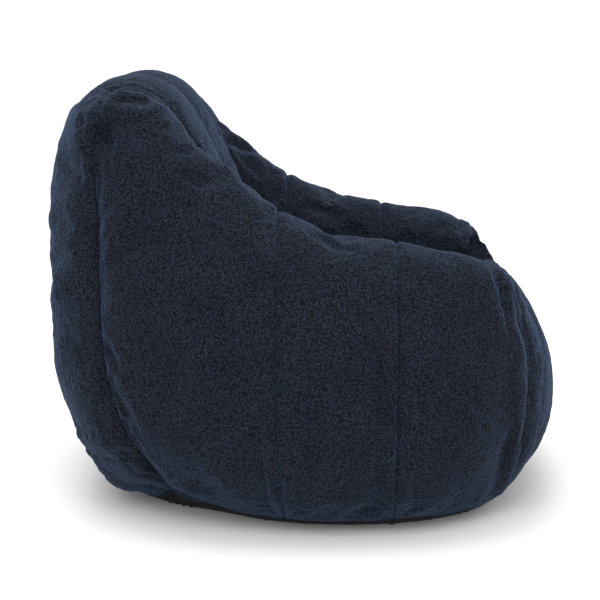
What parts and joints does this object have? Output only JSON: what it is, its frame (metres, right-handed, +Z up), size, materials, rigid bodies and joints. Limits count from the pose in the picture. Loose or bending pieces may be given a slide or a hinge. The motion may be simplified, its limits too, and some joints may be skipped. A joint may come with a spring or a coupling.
{
  "type": "bean bag armchair",
  "caption": "Low bean bag armchair with padded back channels and rounded arms, sewn from sherpa strips over filled chambers.",
  "frame": {"origin": "on the floor under the middle of the chair's bounding box", "axes": "+Z up, -Y the way the chair faces, +X the sitter's left"},
  "size_m": [0.9, 0.9202, 0.7789],
  "materials": {
    "sherpa": "curled navy sherpa fleece, matt with a soft sheen",
    "base_cloth": "woven black polyester with non-slip dots",
    "liner": "plain white woven liner",
    "fill": "loose polystyrene beads",
    "zip_tape": "woven navy tape",
    "zip_coil": "nylon coil",
    "zip_metal": "gunmetal plated"
  },
  "bodies": {
    "chair": {"arm_fill_left": "fill", "arm_fill_right": "fill", "back_fill": "fill", "back_strip_centre_left": "sherpa", "back_strip_centre_right": "sherpa", "back_strip_outer_left": "sherpa", "back_strip_outer_right": "sherpa", "back_wing_fill_left": "fill", "back_wing_fill_right": "fill", "baffle_back": "liner", "baffle_left": "liner", "baffle_right": "liner", "base_panel": "base_cloth", "front_fill": "fill", "front_panel": "sherpa", "rear_tuck_panel": "sherpa", "seat_fill": "fill", "seat_panel": "sherpa", "side_strip_front_left": "sherpa", "side_strip_front_right": "sherpa", "side_strip_middle_left": "sherpa", "side_strip_middle_right": "sherpa", "side_strip_rear_left": "sherpa", "side_strip_rear_right": "sherpa", "zip_coil_lower": "zip_coil", "zip_coil_upper": "zip_coil", "zip_stop_closed": "zip_metal", "zip_stop_open": "zip_metal", "zip_tape_lower": "zip_tape", "zip_tape_upper": "zip_tape"},
    "slider": {"zip_slider": "zip_metal", "zip_bail": "zip_metal"}
  },
  "joints": [
    {"name": "zip_slide", "type": "slide", "parent": "chair", "child": "slider", "axis": [1, 0, 0], "range_m": [0, 0.36]}
  ]
}
